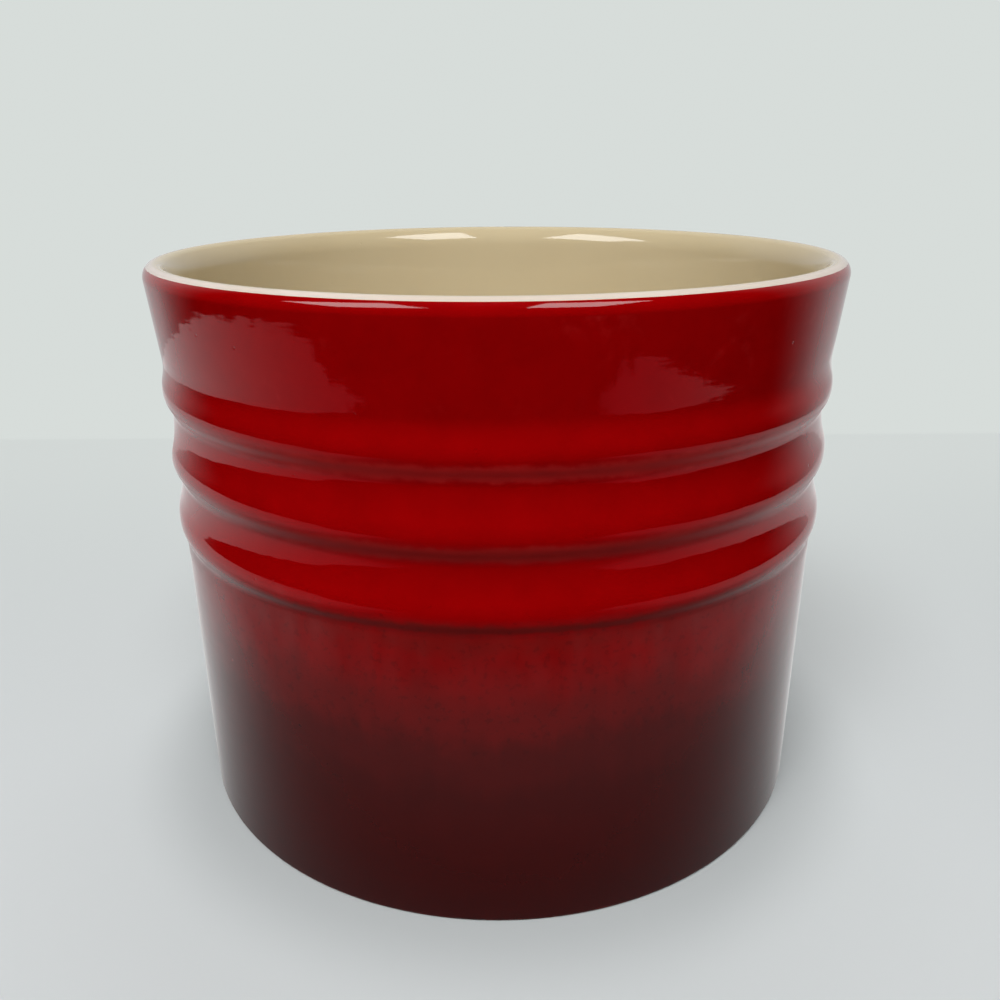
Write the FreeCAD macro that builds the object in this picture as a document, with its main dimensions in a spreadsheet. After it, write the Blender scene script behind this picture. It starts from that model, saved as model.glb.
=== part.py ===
import FreeCAD, Part
import Sketcher
import math
import os

# Glazed stoneware utensil crock: a turned pot with three soft rings under a flared collar.
# The foot stands on the XY plane, centred on the Z axis, with Z up. Lengths are in millimetres.

SIZES = [
    ("height", 141.0, "foot to top of rim"),
    ("base_radius", 85.2, "outside of the wall, carried down to the foot plane"),
    ("wall_lean", 0.1, "outward lean of the lower wall, degrees"),
    ("wall", 6.4, "whole wall, both glazes included"),
    ("glaze", 0.5, "thickness of every glaze coat"),
    ("ring_rise", 1.4, "crest of a ring beyond the base radius"),
    ("ring_pitch", 16.6, "crest to crest"),
    ("lower_bend", 6.0, "round under a ring's crest"),
    ("upper_bend", 11.0, "round over a ring's crest"),
    ("groove_bend", 5.4, "hollow below each ring"),
    ("groove_depth", 1.75, "crest of a ring to the bottom of the groove above it"),
    ("collar_height", 29.7, "crest of the top ring to the rim"),
    ("collar_flare", 5.6, "outward lean of the collar, degrees"),
    ("neck_bend", 9.2, "hollow between the top ring and the collar"),
    ("rim_rise", 2.7, "rim beyond the base radius"),
    ("rim_bend", 3.5, "round on the outer edge of the rim"),
    ("seam_turn", 44.0, "red glaze round the outer edge, up from level, degrees"),
    ("crown_bend", 2.5, "round on top of the rim, between its two edges"),
    ("lip_bend", 5.5, "round on the inner edge of the rim"),
    ("inner_bend", 40.0, "bend inside, where the collar starts"),
    ("floor", 6.5, "floor with the inner glaze"),
    ("floor_bend", 12.0, "hollow between inner wall and floor"),
    ("foot_bend", 1.0, "round on the outer edge of the foot"),
    ("foot_width", 9.0, "flat standing face of the foot ring"),
    ("recess_depth", 2.0, "hollow under the base"),
    ("recess_bend", 1.5, "round where the recess meets the foot ring"),
    ("glaze_line", 0.4, "bare foot below the outer glaze"),
    ("base_glaze_margin", 2.5, "bare band beside the foot ring, inside the recess"),
    ("pad_width", 72.0, "smooth pad in the middle ring, end to end"),
    ("pad_drop", 1.6, "pad below the crest of the ring"),
    ("pad_end_bend", 4.0, "hollow at each end of the pad"),
    ("overrun", 4.0, "reach of a cut past what it cuts"),
]

RING_COUNT = 3
PAD_RING = 1

# Sizes that follow from the named ones, written once for both the sketches and their constraints.
CREST = "(sizes.base_radius + sizes.ring_rise)"
RIM = "(sizes.base_radius + sizes.rim_rise)"
INSIDE = "(sizes.base_radius - sizes.wall)"
CORE = "(sizes.base_radius - sizes.wall / 2)"
LOWEST = f"(sizes.height - sizes.collar_height - {RING_COUNT - 1} * sizes.ring_pitch)"
FLOOR_TOP = "(sizes.recess_depth + sizes.floor)"
CORE_FLOOR = "(sizes.recess_depth + sizes.floor / 2)"
FOOT_INSIDE = "(sizes.base_radius - sizes.glaze - sizes.foot_bend - sizes.foot_width)"
LEAN = "(sizes.wall_lean * 1 deg)"
FLARE = "(sizes.collar_flare * 1 deg)"
SEAM = "(sizes.seam_turn * 1 deg)"
COLLAR = f"({RIM} * cos({FLARE}) - sizes.height * sin({FLARE}))"
GROOVE_DROP = ("sqrt(sizes.groove_depth"
               " * (2 * (sizes.lower_bend + sizes.groove_bend) - sizes.groove_depth))")
EDGE_DROP = f"(sizes.crown_bend + (sizes.rim_bend - sizes.crown_bend) * sin({SEAM}))"
CROWN = (f"({RIM} - {EDGE_DROP} * tan({FLARE}) - sizes.rim_bend / cos({FLARE})"
         f" + (sizes.rim_bend - sizes.crown_bend) * cos({SEAM}))")
BARE = "0"
COATED = "sizes.glaze"


def point(across, up):
    """Point of a flat outline."""
    return FreeCAD.Vector(across, up, 0)


def right_of(way):
    """Direction at a right angle to way, on its right-hand side."""
    return point(way.y, -way.x)


def leaning(angle):
    """Upward direction that leans out by an angle in degrees."""
    return point(math.sin(math.radians(angle)), math.cos(math.radians(angle)))


def beside(start, way, gap, centre, reach, side):
    """Centre that lies gap outside a line and reach from a centre, after it (1) or before it (-1)."""
    lane = start + right_of(way) * gap - centre
    ahead = lane.dot(way)
    room = math.sqrt(ahead ** 2 - lane.dot(lane) + reach ** 2)
    return centre + lane + way * (side * room - ahead)


def at_height(start, way, gap, height):
    """Centre that lies gap to the right of a line, at a height."""
    beyond = start + right_of(way) * gap
    return beyond + way * ((height - beyond.y) / way.y)


def part_way(start, end, reach):
    """Point that lies reach from start towards end."""
    return start + (end - start) * (reach / (end - start).Length)


class Outline:
    """Closed outline in a body's sketch, drawn stroke by stroke and tied to the sheet."""

    def __init__(self, body, name, role, start):
        self.sketch = body.newObject("Sketcher::SketchObject", name)
        plane = next(item for item in body.Origin.OriginFeatures if item.Role == role)
        self.sketch.AttachmentSupport = [(plane, "")]
        self.sketch.MapMode = "FlatFace"
        self.first = None
        self.last = None
        self.pen = start

    def join(self, stroke, end, smooth):
        """Joins the start of a stroke to the end of the one before."""
        if self.last is None:
            self.first = (stroke, end)
            return
        kind = "Tangent" if smooth else "Coincident"
        self.sketch.addConstraint(Sketcher.Constraint(kind, *self.last, stroke, end))

    def line(self, end, smooth=False):
        """Straight stroke from the pen to end."""
        stroke = self.sketch.addGeometry(Part.LineSegment(self.pen, end), False)
        self.join(stroke, 1, smooth)
        self.last = (stroke, 2)
        self.pen = end
        return stroke

    def arc(self, centre, end, left):
        """Round stroke from the pen to end, turning left or right about a centre."""
        near = self.pen - centre
        far = end - centre
        turn = [math.atan2(near.y, near.x), math.atan2(far.y, far.x)]
        circle = Part.Circle(centre, FreeCAD.Vector(0, 0, 1), near.Length)
        sweep = turn if left else turn[::-1]
        stroke = self.sketch.addGeometry(Part.ArcOfCircle(circle, *sweep), False)
        self.join(stroke, 1 if left else 2, True)
        self.last = (stroke, 2 if left else 1)
        self.pen = end
        return stroke

    def close(self, smooth=False):
        """Joins the last stroke to the first one."""
        self.join(*self.first, smooth)

    def tie(self, kind, *places, size):
        """Constraint whose size is an expression of the sheet."""
        value = float(self.sketch.evalExpression(size))
        if kind == "Angle":
            value = math.radians(value)
        number = self.sketch.addConstraint(Sketcher.Constraint(kind, *places, value))
        self.sketch.setExpression(f"Constraints[{number}]", size)

    def across(self, stroke, end, size):
        """Sets how far an end lies from the axis."""
        self.tie("DistanceX", -1, 1, stroke, end, size=size)

    def up(self, stroke, end, size):
        """Sets how high an end lies."""
        self.tie("DistanceY", -1, 1, stroke, end, size=size)

    def set(self, kind, *places):
        """Constraint without a size."""
        self.sketch.addConstraint(Sketcher.Constraint(kind, *places))


class Pot:
    """Centres of the rounds that both glaze faces and clay faces share."""

    def __init__(self, sheet):
        self.size = {name: float(sheet.get(name)) for name, _, _ in SIZES}
        size = self.size
        self.crest = size["base_radius"] + size["ring_rise"]
        self.rim = size["base_radius"] + size["rim_rise"]
        self.inside = size["base_radius"] - size["wall"]
        self.core = size["base_radius"] - size["wall"] / 2
        self.floor_top = size["recess_depth"] + size["floor"]
        self.core_floor = size["recess_depth"] + size["floor"] / 2
        self.foot_inside = size["base_radius"] - size["glaze"] - size["foot_bend"] - size["foot_width"]
        self.wall_way = leaning(size["wall_lean"])
        self.collar_way = leaning(size["collar_flare"])
        self.place_rings()
        self.place_edges()

    def place_rings(self):
        """Centres of the rings, the grooves, the neck and the foot's round, seen in section."""
        size = self.size
        lowest = size["height"] - size["collar_height"] - (RING_COUNT - 1) * size["ring_pitch"]
        self.heights = [lowest + number * size["ring_pitch"] for number in range(RING_COUNT)]
        self.lower = [point(self.crest - size["lower_bend"], height) for height in self.heights]
        self.upper = [point(self.crest - size["upper_bend"], height) for height in self.heights]
        under = size["lower_bend"] + size["groove_bend"]
        drop = math.sqrt(size["groove_depth"] * (2 * under - size["groove_depth"]))
        fall = size["ring_pitch"] - drop
        over = (size["groove_depth"] ** 2 + fall ** 2) / (2 * size["groove_depth"])
        self.bottom = self.crest - size["groove_depth"]
        foot = point(size["base_radius"], 0)
        top = point(self.rim, size["height"])
        self.grooves = [beside(foot, self.wall_way, size["groove_bend"], self.lower[0], under, -1)]
        self.slopes = []
        for height in self.heights[1:]:
            self.grooves.append(point(self.bottom + size["groove_bend"], height - drop))
            self.slopes.append(point(self.bottom + over - size["upper_bend"], height - drop))
        reach = size["upper_bend"] + size["neck_bend"]
        self.neck = beside(top, self.collar_way, size["neck_bend"], self.upper[-1], reach, 1)
        self.foot = at_height(foot, self.wall_way, -size["foot_bend"] - size["glaze"], size["foot_bend"])

    def place_edges(self):
        """Centres of the rim's rounds and of the bends inside, seen in section."""
        size = self.size
        top = point(self.rim, size["height"])
        lip = point(self.rim - size["wall"], size["height"])
        self.seam_way = leaning(90 - size["seam_turn"])
        step = size["rim_bend"] - size["crown_bend"]
        drop = size["crown_bend"] + step * self.seam_way.y
        self.edge = at_height(top, self.collar_way, -size["rim_bend"], size["height"] - drop)
        self.crown = self.edge + self.seam_way * step
        reach = size["lip_bend"] - size["crown_bend"]
        self.lip = beside(lip, self.collar_way, size["lip_bend"], self.crown, reach, -1)
        bend = lip + right_of(self.collar_way) * size["inner_bend"]
        slide = (self.inside + size["inner_bend"] - bend.x) / self.collar_way.x
        self.bend = bend + self.collar_way * slide
        self.corner = point(self.inside - size["floor_bend"], self.floor_top + size["floor_bend"])
        depth = (size["wall"] / 2 - size["rim_bend"]) / self.seam_way.dot(right_of(self.collar_way))
        self.seam = self.edge + self.seam_way * size["rim_bend"]
        self.seam_core = self.edge - self.seam_way * depth
        fall = (self.core - self.seam_core.x) / self.collar_way.x
        self.neck_core = self.seam_core + self.collar_way * fall


def make_sheet(doc):
    """Spreadsheet with one named cell for each size."""
    sheet = doc.addObject("Spreadsheet::Sheet", "sizes")
    for row, (name, value, note) in enumerate(SIZES, start=1):
        sheet.set(f"A{row}", name)
        sheet.set(f"B{row}", str(value))
        sheet.set(f"C{row}", note)
        sheet.setAlias(f"B{row}", name)
    doc.recompute()
    return sheet


def draw_ring(outline, pot, number, depth, skin):
    """One ring, from the groove below it to its upper end."""
    size = pot.size
    above = (pot.slopes + [pot.neck])[number]
    end = part_way(pot.upper[number], above, size["upper_bend"] - depth)
    under = outline.arc(pot.lower[number], point(pot.crest - depth, pot.heights[number]), True)
    over = outline.arc(pot.upper[number], end, True)
    outline.tie("Radius", under, size=f"sizes.lower_bend - {skin}")
    outline.tie("Radius", over, size=f"sizes.upper_bend - {skin}")
    outline.across(under, 2, f"{CREST} - {skin}")
    outline.up(under, 2, f"{LOWEST} + {number} * sizes.ring_pitch")
    outline.set("Horizontal", under, 3, under, 2)


def draw_slope(outline, pot, number, depth, skin):
    """Long hollow above one ring, down to the bottom of the groove."""
    centre = pot.slopes[number]
    slope = outline.arc(centre, point(pot.bottom - depth, centre.y), False)
    outline.across(slope, 1, f"{CREST} - sizes.groove_depth - {skin}")
    outline.set("Horizontal", slope, 3, slope, 1)


def draw_groove(outline, pot, number, depth, skin):
    """Short hollow below one ring."""
    size = pot.size
    end = part_way(pot.lower[number], pot.grooves[number], size["lower_bend"] - depth)
    hollow = outline.arc(pot.grooves[number], end, False)
    outline.tie("Radius", hollow, size=f"sizes.groove_bend + {skin}")


def draw_outside(outline, pot, depth, skin):
    """Outside of the pot, from the foot's round to the seam on the outer edge of the rim."""
    size = pot.size
    out_wall = right_of(pot.wall_way)
    out_collar = right_of(pot.collar_way)
    round_foot = size["foot_bend"] + size["glaze"] - depth
    foot = outline.arc(pot.foot, pot.foot + out_wall * round_foot, True)
    outline.tie("Radius", foot, size=f"sizes.foot_bend + sizes.glaze - {skin}")
    outline.up(foot, 3, "sizes.foot_bend")
    wall = outline.line(pot.grooves[0] - out_wall * (size["groove_bend"] + depth), True)
    outline.tie("Angle", wall, size=f"90 deg - {LEAN}")
    outline.tie("Distance", -1, 1, wall, size=f"sizes.base_radius * cos({LEAN}) - {skin}")
    for number in range(RING_COUNT):
        draw_groove(outline, pot, number, depth, skin)
        draw_ring(outline, pot, number, depth, skin)
        if number + 1 < RING_COUNT:
            draw_slope(outline, pot, number, depth, skin)
    neck = outline.arc(pot.neck, pot.neck - out_collar * (size["neck_bend"] + depth), False)
    outline.tie("Radius", neck, size=f"sizes.neck_bend + {skin}")
    collar = outline.line(pot.edge + out_collar * (size["rim_bend"] - depth), True)
    outline.tie("Angle", collar, size=f"90 deg - {FLARE}")
    outline.tie("Distance", -1, 1, collar, size=f"{COLLAR} - {skin}")
    edge = outline.arc(pot.edge, pot.edge + pot.seam_way * (size["rim_bend"] - depth), True)
    outline.tie("Radius", edge, size=f"sizes.rim_bend - {skin}")
    outline.up(edge, 3, f"sizes.height - {EDGE_DROP}")
    return foot, collar, edge


def draw_rim(outline, pot, depth, skin):
    """Rim, from the seam over the top to its inner edge."""
    reach = pot.size["lip_bend"] - depth
    crown = outline.arc(pot.crown, part_way(pot.lip, pot.crown, reach), True)
    lip = outline.arc(pot.lip, pot.lip - right_of(pot.collar_way) * reach, True)
    outline.tie("Radius", crown, size=f"sizes.crown_bend - {skin}")
    outline.tie("Radius", lip, size=f"sizes.lip_bend - {skin}")
    outline.up(crown, 3, "sizes.height - sizes.crown_bend")
    return crown


def draw_inside(outline, pot, depth, skin):
    """Inside of the pot, from the rim's inner edge to the middle of the floor."""
    size = pot.size
    out_collar = right_of(pot.collar_way)
    bend_reach = size["inner_bend"] - depth
    collar = outline.line(pot.bend - out_collar * bend_reach, True)
    bend = outline.arc(pot.bend, point(pot.bend.x - bend_reach, pot.bend.y), True)
    wall = outline.line(point(pot.inside + depth, pot.corner.y), True)
    corner = outline.arc(pot.corner, point(pot.corner.x, pot.floor_top - depth), False)
    floor = outline.line(point(0, pot.floor_top - depth), True)
    outline.tie("Angle", collar, size=f"-90 deg - {FLARE}")
    outline.tie("Distance", -1, 1, collar,
                size=f"({RIM} - sizes.wall) * cos({FLARE}) - sizes.height * sin({FLARE}) + {skin}")
    outline.tie("Radius", bend, size=f"sizes.inner_bend - {skin}")
    outline.set("Vertical", wall)
    outline.across(wall, 2, f"{INSIDE} + {skin}")
    outline.tie("Radius", corner, size=f"sizes.floor_bend + {skin}")
    outline.set("Horizontal", floor)
    outline.set("PointOnObject", floor, 2, -2)
    outline.up(floor, 2, f"{FLOOR_TOP} - {skin}")


def draw_underside(outline, pot):
    """Axis, recess under the base and standing face, back to the foot's round."""
    size = pot.size
    turn = pot.foot_inside - size["recess_bend"]
    axis = outline.line(point(0, size["recess_depth"]))
    ceiling = outline.line(point(turn, size["recess_depth"]))
    centre = point(turn, size["recess_depth"] - size["recess_bend"])
    bend = outline.arc(centre, point(pot.foot_inside, centre.y), False)
    side = outline.line(point(pot.foot_inside, 0), True)
    face = outline.line(point(pot.foot.x, 0))
    outline.set("Vertical", axis)
    outline.set("Horizontal", ceiling)
    outline.up(ceiling, 1, "sizes.recess_depth")
    outline.tie("Radius", bend, size="sizes.recess_bend")
    outline.set("Vertical", side)
    outline.across(side, 2, FOOT_INSIDE)
    outline.set("Horizontal", face)


def turn_about_axis(body, outline, name):
    """Solid of revolution about the upright axis."""
    turned = body.newObject("PartDesign::Revolution", name)
    turned.Profile = outline.sketch
    turned.ReferenceAxis = (outline.sketch, ["V_Axis"])
    turned.Angle = 360
    body.Tip = turned


def press_pad(body, pot, name, depth, skin):
    """Smooth pad let into the middle ring on the -X side, with hollow ends."""
    size = pot.size
    end_round = size["pad_end_bend"] + depth
    half = size["pad_width"] / 2 + depth
    floor = pot.crest - size["pad_drop"] - depth
    out = -pot.crest - size["pad_end_bend"] - size["overrun"]
    centre_side = half - end_round
    centre_back = -math.sqrt((floor + end_round) ** 2 - centre_side ** 2)
    near = point(centre_back, -centre_side)
    far = point(centre_back, centre_side)
    outline = Outline(body, name + "_outline", "XY_Plane", point(out, half))
    left = outline.line(point(out, -half))
    front = outline.line(point(centre_back, -half))
    front_round = outline.arc(near, part_way(point(0, 0), near, floor), True)
    face = outline.arc(point(0, 0), part_way(point(0, 0), far, floor), False)
    back_round = outline.arc(far, point(centre_back, half), True)
    back = outline.line(point(out, half), True)
    outline.close()
    outline.set("Vertical", left)
    outline.set("Horizontal", front)
    outline.set("Horizontal", back)
    outline.set("Coincident", face, 3, -1, 1)
    outline.across(left, 1, f"-({CREST} + sizes.pad_end_bend + sizes.overrun)")
    outline.up(left, 1, f"sizes.pad_width / 2 + {skin}")
    outline.up(left, 2, f"-(sizes.pad_width / 2 + {skin})")
    outline.tie("Radius", face, size=f"{CREST} - sizes.pad_drop - {skin}")
    for stroke in (front_round, back_round):
        outline.tie("Radius", stroke, size=f"sizes.pad_end_bend + {skin}")
    outline.sketch.setExpression(
        "AttachmentOffset.Base.z", f"{LOWEST} + {PAD_RING + 1} * sizes.ring_pitch - {GROOVE_DROP}")
    pocket = body.newObject("PartDesign::Pocket", name)
    pocket.Profile = outline.sketch
    pocket.Type = "Length"
    pocket.setExpression("Length", "sizes.ring_pitch")
    body.Tip = pocket
    return pocket


def make_stoneware(doc, pot):
    """Fired clay: wall, floor and bare foot ring, everything under the glaze."""
    body = doc.addObject("PartDesign::Body", "stoneware_body")
    coat = pot.size["glaze"]
    outline = Outline(body, "clay_section", "XZ_Plane", point(pot.foot.x, 0))
    draw_outside(outline, pot, coat, COATED)
    draw_rim(outline, pot, coat, COATED)
    draw_inside(outline, pot, coat, COATED)
    draw_underside(outline, pot)
    outline.close(True)
    turn_about_axis(body, outline, "turned_clay")
    press_pad(body, pot, "clay_pad", coat, COATED)
    return body


def make_outer_blank(doc, pot):
    """Outside of the pot as glazed, filled in to the middle of the wall."""
    body = doc.addObject("PartDesign::Body", "outer_blank")
    size = pot.size
    round_foot = size["foot_bend"] + size["glaze"]
    fall = size["glaze_line"] - pot.foot.y
    start = pot.foot + point(math.sqrt(round_foot ** 2 - fall ** 2), fall)
    outline = Outline(body, "outer_section", "XZ_Plane", start)
    foot, collar, edge = draw_outside(outline, pot, 0, BARE)
    seam = outline.line(pot.seam_core)
    flare = outline.line(pot.neck_core)
    core = outline.line(point(pot.core, size["glaze_line"]))
    bare = outline.line(start)
    outline.close()
    outline.up(foot, 1, "sizes.glaze_line")
    outline.set("PointOnObject", edge, 3, seam)
    outline.tie("Angle", seam, size=f"{SEAM} - 180 deg")
    outline.set("Parallel", flare, collar)
    outline.tie("Distance", -1, 1, flare, size=f"{COLLAR} - sizes.wall / 2")
    outline.set("Vertical", core)
    outline.across(core, 2, CORE)
    outline.set("Horizontal", bare)
    turn_about_axis(body, outline, "turned_outer")
    press_pad(body, pot, "outer_pad", 0, BARE)
    return body


def make_liner_blank(doc, pot):
    """Rim and inside of the pot as glazed, filled in to the middle of the wall and floor."""
    body = doc.addObject("PartDesign::Body", "liner_blank")
    outline = Outline(body, "liner_section", "XZ_Plane", pot.seam)
    crown = draw_rim(outline, pot, 0, BARE)
    draw_inside(outline, pot, 0, BARE)
    axis = outline.line(point(0, pot.core_floor))
    floor = outline.line(point(pot.core, pot.core_floor))
    core = outline.line(pot.neck_core)
    flare = outline.line(pot.seam_core)
    seam = outline.line(pot.seam)
    outline.close()
    outline.set("Vertical", axis)
    outline.set("Horizontal", floor)
    outline.up(floor, 1, CORE_FLOOR)
    outline.set("Vertical", core)
    outline.across(core, 1, CORE)
    outline.tie("Angle", flare, size=f"90 deg - {FLARE}")
    outline.tie("Distance", -1, 1, flare, size=f"{COLLAR} - sizes.wall / 2")
    outline.tie("Angle", seam, size=SEAM)
    outline.set("PointOnObject", crown, 3, seam)
    outline.across(crown, 3, CROWN)
    turn_about_axis(body, outline, "turned_liner")
    return body


def make_coat(doc, name, blank, clay):
    """Glaze coat: what a blank holds outside the clay."""
    coat = doc.addObject("Part::Cut", name)
    coat.Base = blank
    coat.Tool = clay
    return coat


def make_base_glaze(doc):
    """Glazed disc in the recess, clear of the standing face."""
    disc = doc.addObject("Part::Cylinder", "base_glaze")
    disc.setExpression("Radius", f"{FOOT_INSIDE} - sizes.base_glaze_margin")
    disc.setExpression("Height", "sizes.glaze")
    disc.setExpression("Placement.Base.z", "sizes.recess_depth - sizes.glaze")
    return disc


def check_document(doc):
    """Stops if a feature failed or a sketch is left loose."""
    for item in doc.Objects:
        if "Invalid" in item.State or "Error" in item.State:
            raise RuntimeError(f"{item.Name} failed: {item.State}")
        if item.TypeId == "Sketcher::SketchObject" and not item.FullyConstrained:
            raise RuntimeError(f"{item.Name} is not fully constrained")
        if item.TypeId == "PartDesign::Pocket" and item.Shape.Volume >= item.BaseFeature.Shape.Volume:
            raise RuntimeError(f"{item.Name} cut nothing")


def write_pieces(pieces):
    """Writes each piece under its label, once its solid is sound."""
    os.makedirs("parts", exist_ok=True)
    for piece in pieces:
        shape = piece.Shape
        if shape.isNull() or not shape.isValid() or len(shape.Solids) != 1:
            raise RuntimeError(f"{piece.Label} is not one sound solid")
        print(f"{piece.Label}: {shape.Volume / 1000:.2f} cm3, {shape.BoundBox}")
        shape.exportStep(f"parts/{piece.Label}.step")


def main():
    doc = FreeCAD.newDocument("utensil_crock")
    sheet = make_sheet(doc)
    pot = Pot(sheet)
    clay = make_stoneware(doc, pot)
    outer_blank = make_outer_blank(doc, pot)
    liner_blank = make_liner_blank(doc, pot)
    doc.recompute()
    outer = make_coat(doc, "outer_glaze", outer_blank, clay)
    liner = make_coat(doc, "inner_glaze", liner_blank, clay)
    base = make_base_glaze(doc)
    doc.recompute()
    check_document(doc)
    write_pieces([clay, outer, liner, base])


main()
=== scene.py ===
"""Glazed stoneware utensil crock: clay, red coat, cream coat and base coat, in a pale studio."""

import logging
import math
from dataclasses import dataclass
from enum import Enum
from functools import partial, reduce

import bmesh
import bpy
from mathutils import Matrix, Vector


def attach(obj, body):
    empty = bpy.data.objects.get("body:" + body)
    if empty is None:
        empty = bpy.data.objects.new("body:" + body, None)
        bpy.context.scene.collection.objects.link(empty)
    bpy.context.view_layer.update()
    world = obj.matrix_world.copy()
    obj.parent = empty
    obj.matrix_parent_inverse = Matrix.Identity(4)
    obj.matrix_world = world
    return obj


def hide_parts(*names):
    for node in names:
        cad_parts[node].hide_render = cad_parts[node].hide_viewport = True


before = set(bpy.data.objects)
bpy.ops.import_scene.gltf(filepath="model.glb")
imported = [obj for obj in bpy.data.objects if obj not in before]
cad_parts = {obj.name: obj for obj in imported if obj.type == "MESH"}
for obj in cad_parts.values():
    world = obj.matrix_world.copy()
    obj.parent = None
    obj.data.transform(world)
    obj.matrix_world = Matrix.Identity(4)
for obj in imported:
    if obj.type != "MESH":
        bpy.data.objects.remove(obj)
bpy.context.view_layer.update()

LOG = logging.getLogger("crock")
BODY = "root"
PHOTO_SIDE = 1000
WHITE = (1.0, 1.0, 1.0, 1.0)

Colour = tuple[float, float, float, float]
Span = tuple[float, float]
Socket = bpy.types.NodeSocket
Input = Socket | float | int | bool | str | tuple | list | bpy.types.ID


class Face(Enum):
    """How closely a face is divided: largest turn in degrees, longest run in metres."""

    SHOWN = (4.0, 0.0025)
    HIDDEN = (15.0, 0.0100)


class Turn(Enum):
    """Which way a round stroke bends as the outline is drawn."""

    LEFT = 1
    RIGHT = -1


class Slot(Enum):
    """Material slots of the record."""

    STONEWARE = "stoneware"
    RED = "red_glaze"
    CREAM = "cream_glaze"
    DARK = "dark_glaze"


def right_of(way: Vector) -> Vector:
    """Direction at a right angle to way, on its right-hand side."""
    return Vector((way.y, -way.x))


def leaning(angle: float) -> Vector:
    """Upward direction that leans out by an angle in degrees."""
    return Vector((math.sin(math.radians(angle)), math.cos(math.radians(angle))))


def part_way(start: Vector, end: Vector, reach: float) -> Vector:
    """Point that lies reach from start towards end."""
    return start + (end - start).normalized() * reach


def beside(start: Vector, way: Vector, gap: float, centre: Vector, reach: float, side: int) -> Vector:
    """Finds a centre from its distances to a line and to another centre.

    Args:
        start: A point of the line.
        way: Direction of the line.
        gap: Distance outside the line.
        centre: The other centre.
        reach: Distance to the other centre.
        side: 1 for the place further along the line, -1 for the one before it.

    Returns:
        The centre that was looked for.
    """
    lane = start + right_of(way) * gap - centre
    ahead = lane.dot(way)
    room = math.sqrt(ahead**2 - lane.length_squared + reach**2)
    return centre + lane + way * (side * room - ahead)


def at_height(start: Vector, way: Vector, gap: float, height: float) -> Vector:
    """Point that lies gap to the right of a line, at a height."""
    beyond = start + right_of(way) * gap
    return beyond + way * ((height - beyond.y) / way.y)


@dataclass(frozen=True)
class SectionPoint:
    """Point of a turned section: radius, height, depth under the glaze and upward tilt of the face."""

    across: float
    up: float
    depth: float
    tilt: float


class Stroke:
    """Open outline in radius and height, drawn as straight and round strokes."""

    def __init__(self, start: Vector, depth: float, face: Face) -> None:
        """Puts the pen down.

        Args:
            start: First point.
            depth: How far the drawn face lies under the glaze face.
            face: How closely the strokes are divided.
        """
        self.depth = depth
        self.turn_step, self.run_step = face.value
        self.pen = start
        self.points = [SectionPoint(start.x, start.y, depth, 0.0)]

    def line(self, end: Vector) -> None:
        """Draws a straight stroke.

        Args:
            end: Last point of the stroke.
        """
        count = max(1, math.ceil((end - self.pen).length / self.run_step))
        tilt = right_of((end - self.pen).normalized()).y
        for step in range(1, count + 1):
            place = self.pen.lerp(end, step / count)
            self.points.append(SectionPoint(place.x, place.y, self.depth, tilt))
        self.pen = end

    def arc(self, centre: Vector, end: Vector, turn: Turn) -> None:
        """Draws a round stroke about a centre.

        Args:
            centre: Centre of the round.
            end: Last point of the stroke.
            turn: Which way the stroke bends.
        """
        near = self.pen - centre
        far = end - centre
        sweep = math.atan2(near.x * far.y - near.y * far.x, near.dot(far))
        count = max(1, math.ceil(abs(math.degrees(sweep)) / self.turn_step))
        for step in range(1, count + 1):
            spoke = Matrix.Rotation(sweep * step / count, 2) @ near
            place = centre + spoke
            tilt = turn.value * spoke.y / near.length
            self.points.append(SectionPoint(place.x, place.y, self.depth, tilt))
        self.pen = end


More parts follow.
